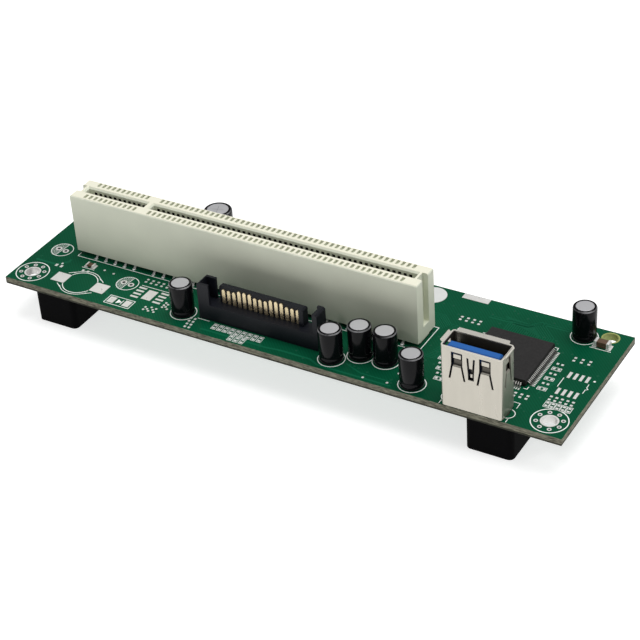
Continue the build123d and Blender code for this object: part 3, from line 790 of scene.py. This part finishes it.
# Footprints left empty, in front of the slot's left part
def empty_round(x, y, radius, angle):
    ink.ring(x, y, radius - 0.17, radius, TOP, INK_HIGH, steps=56)
    a = math.radians(angle)
    ux, uy = math.cos(a), math.sin(a)
    vx, vy = -uy, ux
    mark([(x - ux * radius, y - uy * radius), (x + ux * radius, y + uy * radius)])
    for k in range(1, 7):
        off = k * radius / 7
        reach = math.sqrt(radius * radius - off * off) - 0.1
        mid_x, mid_y = x + vx * off, y + vy * off
        mark([(mid_x - ux * reach, mid_y - uy * reach), (mid_x + ux * reach, mid_y + uy * reach)], 0.07)
    for side in (-1, 1):
        pin_x, pin_y = x + side * vx, y + side * vy
        pads.ring(pin_x, pin_y, 0.36, 0.72, TOP, INK_HIGH + 0.02, steps=28)
        bores.disc(pin_x, pin_y, 0.37, TOP, INK_HIGH + 0.004, 20)
        pads.ring(pin_x, pin_y, 0.36, 0.72, PAD_LOW, BOTTOM, steps=28)


def coil_footprint(x, y):
    for pad_x in (x - 5.1, x + 5.2):
        land(pad_x, y, 3.5, 3.3)
    for start, end in ((28, 152), (208, 332)):
        ink.ring(x, y, 3.75, 3.93, TOP, INK_HIGH, start, end, 32)
        ink.ring(x, y, 4.35, 4.5, TOP, INK_HIGH, start + 9, end - 9, 32)
    for sx, sy in rectangle(1, 1):
        mark([(x + sx * 3.05, y + sy * 3.25), (x + sx * 4.6, y + sy * 2.15)], 0.16)


def diode_footprint():
    left, right, front, rear = -40.3, -34.0, -17.1, -14.2
    y = (front + rear) / 2
    mark([(left, rear), (right, rear), (right, front), (left, front)], 0.16, closed=True)
    for x in (left + 1.2, right - 1.2):
        land(x, y, 1.6, 2.1)
    ink.prism([(-37.75, y - 0.75), (-36.55, y), (-37.75, y + 0.75)], TOP, INK_HIGH)
    mark([(-36.5, y - 0.8), (-36.5, y + 0.8)], 0.16)


def regulator_footprint():
    for k in range(4):
        for x in (-35.45, -29.75):
            land(x, -9.15 - 1.16 * k, 1.9, 0.55)
    land(-32.6, -10.9, 2.3, 3.5)
    mark([(-36.3, -8.3), (-28.9, -8.3)], 0.14)


def memory_footprint():
    for k in range(4):
        for y in (1.0, -4.7):
            land(59.1 + PITCH * k, y, 0.62, 2.0)
    ink.disc(64.3, 1.05, 0.24, TOP, INK_HIGH)
    mark([(58.4, -0.25), (58.4, -3.45)], 0.14)
    mark([(63.7, -0.25), (63.7, -1.45), (64.15, -1.85), (63.7, -2.25), (63.7, -3.45)], 0.14)


TEST_POINTS = [
    (-30.9, -15.85), (-30.9, -14.9), (-30.2, -15.4), (-29.6, -14.5), (-29.6, -15.9), (-28.9, -15.2),
    (-28.4, -14.6), (-28.3, -15.8), (-27.65, -13.5), (-27.7, -12.7), (-27.7, -11.8), (-27.0, -12.2),
    (-27.0, -13.1), (-26.3, -13.7), (22.7, -17.1), (28.6, -12.9), (27.9, -16.6), (36.6, -9.2),
    (-44.6, -7.2), (-47.2, -6.9), (-57.4, -8.6),
]

empty_round(-60.8, -4.0, 2.55, 84)
empty_round(-39.6, -9.1, 2.55, 84)
coil_footprint(-49.25, -13.2)
diode_footprint()
regulator_footprint()
memory_footprint()
for x, y in TEST_POINTS:
    pads.disc(x, y, 0.27, TOP, PAD_HIGH, 16)


# Pairs of small pads for two-ended components, some with a printed outline
def pair(x, y, angle, gap=1.0, size=(0.5, 0.55), outlined=False):
    for pad_x, pad_y in turned(x, y, [(-gap / 2, 0), (gap / 2, 0)], angle):
        land(pad_x, pad_y, *size, angle)
    if outlined:
        ink.line(turned(x, y, rectangle(gap / 2 + 0.45, 0.48), angle), 0.1, TOP, INK_HIGH, closed=True)


def pair_row(count, start, step, angle, gap=1.0, outlined=()):
    for k in range(count):
        pair(start[0] + step[0] * k, start[1] + step[1] * k, angle, gap, outlined=k in outlined)


pair_row(5, (-36.3, -6.4), (1.35, 0), 90, 0.95)
pair_row(9, (-13.6, -14.75), (1.38, 0), 90, 0.95, outlined=range(9))
pair_row(3, (-8.4, -16.8), (1.38, 0), 90, 0.9, outlined=range(3))
pair_row(4, (-19.3, -14.2), (0.15, -1.05), 0)
pair_row(5, (58.7, -7.4), (1.15, 0), 90, 1.05)
pair_row(5, (58.9, -9.45), (1.15, 0), 90, 0.95, outlined=range(5))
pair_row(6, (56.0, 3.4), (0, -1.75), 0, outlined=(1, 3, 5))
pair_row(3, (57.9, 6.2), (1.6, 0), 90)
pair_row(5, (34.2, -4.6), (0.55, -1.6), 0, outlined=(0, 2, 4))
pair_row(4, (31.2, 9.6), (1.4, 0), 90)
pair_row(4, (33.0, 5.8), (0, -1.5), 0)
pair_row(3, (52.0, -9.2), (1.3, 0), 90, 0.95)
pair(-57.6, -9.6, 0, 1.3, (0.6, 0.8))
pair(-50.9, -8.9, 0, 1.3, (0.55, 0.6))


# Land under each end cap of the two surface-mounted components
def component_lands(node):
    low, high = box_mm(node)
    y = (low.y + high.y) / 2
    width = high.y - low.y + 0.25
    for x in (low.x + 0.1, high.x - 0.1):
        land(x, y, 1.0, width)
    mark_y = y - width / 2 - 0.3
    mark([(low.x - 0.65, mark_y), (high.x + 0.65, mark_y)], 0.13)


component_lands("filter_capacitor_caps")
component_lands("bypass_capacitor_caps")

# Tinned strip at the rear edge and the round blank label
pads.prism([(27.95, 18.1), (34.0, 18.1), (34.0, 16.4), (27.95, 16.4)], TOP, PAD_HIGH)
label = Shape()
label.disc(22.2, 14.7, 2.9, TOP, TOP + 0.09, 64)
label.make("blank_label", STICKER, "slot_plastic")

# Joints of the socket and the capacitors below the board, where no foot covers them
FOOT_MARGIN = 0.9
PIN_JOINT_BELOW = [(0, 1.05), (0.2, 1.0), (0.25, 0.5), (0.42, 0.22), (0.7, 0.02), (0.78, 0)]
SMALL_CAN_WIDTH = 5.2


# Rectangle that a piece takes up on the board, widened by a margin: left, right, front and rear
def zone_of(node, margin):
    low, high = box_mm(node)
    return low.x - margin, high.x + margin, low.y - margin, high.y + margin


def in_zone(x, y, zones):
    return any(left < x < right and front < y < rear for left, right, front, rear in zones)


foot_zones = [zone_of(foot, FOOT_MARGIN) for foot in FEET]


def socket_pins():
    row_y = box_mm("usb_data_contacts")[0].y
    power_row = [(socket_x + (i - 1.5) * 2.3, row_y) for i in range(4)]
    data_row = [(socket_x + (i - 2) * 2.0, row_y + 1.5) for i in range(5)]
    return power_row + data_row


def capacitor_pins(letter):
    low, high = box_mm(f"capacitor_{letter}_can")
    x, y = middle(low, high)
    spread = 1.0 if high.x - low.x < SMALL_CAN_WIDTH else 1.25
    return [(x - spread, y), (x + spread, y)]


pins_below = socket_pins()
for letter in CAPACITORS:
    pins_below += capacitor_pins(letter)
for x, y in pins_below:
    if not in_zone(x, y, foot_zones):
        joint(x, y, PIN_JOINT_BELOW)
joints.make("solder_joints_below", SOLDER, "tinned_lead", smooth=True, angle=60)

# Scattered vias on both faces, kept clear of what stands on the board and of its footprints
VIA_BORE = 0.12
VIA_RADIUS = 0.27
VIA_COUNT = 150
VIA_TRIES_BELOW = 140
HOLE_CLEARANCE = 4.4
PIECE_CLEARANCE = 0.6
SLOT_ROWS_HALF = 4.8
FOOTPRINT_ZONES = [
    (LEFT + 8, slot_high.x + 1.5, -6.5, 6.5), (-56, -25, FRONT, -5.5), (-64, -57, -8, 0), (57, 65, -11, 3),
]


def near_hole(x, y):
    return any(math.dist((x, y), hole) < HOLE_CLEARANCE for hole in FRONT_HOLES + REAR_HOLES)


def any_place(rng):
    return rng.uniform(LEFT + 1.5, RIGHT - 1.5), rng.uniform(FRONT + 1.2, REAR - 1.2)


def scatter_vias():
    rng = random.Random(7)
    standing = [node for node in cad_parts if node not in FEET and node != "printed_circuit_board"]
    zones = [zone_of(node, PIECE_CLEARANCE) for node in standing] + FOOTPRINT_ZONES
    vias = Shape()
    placed = 0
    while placed < VIA_COUNT:
        x, y = any_place(rng)
        if near_hole(x, y) or in_zone(x, y, zones):
            continue
        vias.ring(x, y, VIA_BORE, VIA_RADIUS, TOP, TRACE_HIGH + 0.004, steps=14)
        bores.disc(x, y, VIA_BORE, TOP, BORE_HIGH, 10)
        placed += 1
    for _ in range(VIA_TRIES_BELOW):
        x, y = any_place(rng)
        if not (in_zone(x, y, foot_zones) or near_hole(x, y) or abs(y) < SLOT_ROWS_HALF):
            vias.ring(x, y, VIA_BORE, VIA_RADIUS, BOTTOM - 0.016, BOTTOM, steps=14)
    vias.make("tented_vias", TRACE, "circuit_board")


scatter_vias()
# Dark discs over the via and pin holes: painted shade standing in for the open bores.
bores.make("via_bores", BORE, "circuit_board")

# Supply tracks, wider than the others, and the long tracks below the board
SUPPLY_OVER = 0.006
SUPPLY_TRACKS = [
    (0.6, SUPPLY_OVER, [(-64, -9.4), (-58.5, -9.4), (-56.5, -7.4), (-56.5, -6.4)]),
    (0.5, SUPPLY_OVER, [(-42.3, -13.2), (-40.7, -14.8), (-40.7, -17.0)]),
    (0.5, SUPPLY_OVER, [(-16, -16.6), (0, -16.6), (3.0, -16.2), (10, -16.2), (12.5, -17.3), (29, -17.3)]),
    (0.3, 0.0, [(17.5, -14.4), (21.5, -16.0), (28.2, -16.0)]),
    (0.3, 0.0, [(36.2, 12.4), (45, 12.4), (47, 14.4), (53, 14.4)]),
    (TRACE_WIDTH, 0.0, [(36.2, 13.1), (44.7, 13.1), (46.7, 15.1), (53, 15.1)]),
]


def tracks_below(side):
    for k in range(6):
        x, y = 18 + 0.13 * k, side * (8.6 + 0.55 * k)
        inner_y = y - side * 1.5
        traces.line([(-46 + k, y), (x, y), (x + 3, inner_y), (41, inner_y)], 0.2, BOTTOM - 0.014, BOTTOM)


for width, over, path in SUPPLY_TRACKS:
    trace(path, width, over)
for side in (-1, 1):
    tracks_below(side)
traces.make("copper_tracks", TRACE, "circuit_board")
ink.make("printed_marks", INK, "slot_plastic")
pads.make("tinned_pads", TIN, "tinned_lead")


# Floor, lights and camera, in metres
def make_floor():
    mesh = bpy.data.meshes.new("floor")
    mesh.from_pydata([(-3, -3, 0), (3, -3, 0), (3, 3, 0), (-3, 3, 0)], [], [(0, 1, 2, 3)])
    mesh.materials.append(floor_look().material)
    floor = bpy.data.objects.new("floor", mesh)
    bpy.context.scene.collection.objects.link(floor)
    return floor


def area_light(name, place, aim, size, power):
    data = bpy.data.lights.new(name, "AREA")
    data.shape = "SQUARE"
    data.size = size
    data.energy = power
    lamp = bpy.data.objects.new(name, data)
    lamp.location = place
    lamp.rotation_mode = "QUATERNION"
    lamp.rotation_quaternion = (Vector(aim) - Vector(place)).to_track_quat("-Z", "Y")
    bpy.context.scene.collection.objects.link(lamp)


def studio_world(strength):
    world = bpy.data.worlds.new("studio")
    world.use_nodes = True
    background = world.node_tree.nodes["Background"]
    background.inputs["Color"].default_value = (1, 1, 1, 1)
    background.inputs["Strength"].default_value = strength
    return world


def camera_at(place, azimuth, elevation, roll, lens):
    """Looks at the part from an azimuth and an elevation, turned about its own axis by roll, in degrees."""
    azimuth, elevation, roll = math.radians(azimuth), math.radians(elevation), math.radians(roll)
    level = math.cos(elevation)
    back = Vector((math.sin(azimuth) * level, -math.cos(azimuth) * level, math.sin(elevation)))
    side = (-back).cross(Vector((0, 0, 1))).normalized()
    upright = side.cross(-back).normalized()
    across = side * math.cos(roll) + upright * math.sin(roll)
    above = upright * math.cos(roll) - side * math.sin(roll)
    data = bpy.data.cameras.new("camera")
    data.lens = lens
    data.sensor_width = 36
    data.clip_start, data.clip_end = 0.01, 20
    camera = bpy.data.objects.new("camera", data)
    rows = [(across[k], above[k], back[k], place[k]) for k in range(3)]
    camera.matrix_world = Matrix(rows + [(0, 0, 0, 1)])
    bpy.context.scene.collection.objects.link(camera)
    return camera


floor = make_floor()
area_light("key", place=(0.10, 0.15, 1.20), aim=(0, 0, 0.01), size=0.90, power=11.6)
area_light("right", place=(0.80, 0.12, 0.35), aim=(0.02, 0, 0.01), size=0.40, power=1.2)
area_light("front", place=(-0.10, -0.80, 0.75), aim=(0, 0, 0.01), size=0.12, power=0.65)

CAMERA_PLACE = (0.17280, -0.26925, 0.22717)
scene = bpy.context.scene
scene.world = studio_world(strength=0.27)
scene.view_settings.view_transform = "Standard"
scene.camera = camera_at(CAMERA_PLACE, azimuth=32.248, elevation=34.626, roll=-4.103, lens=103.75)
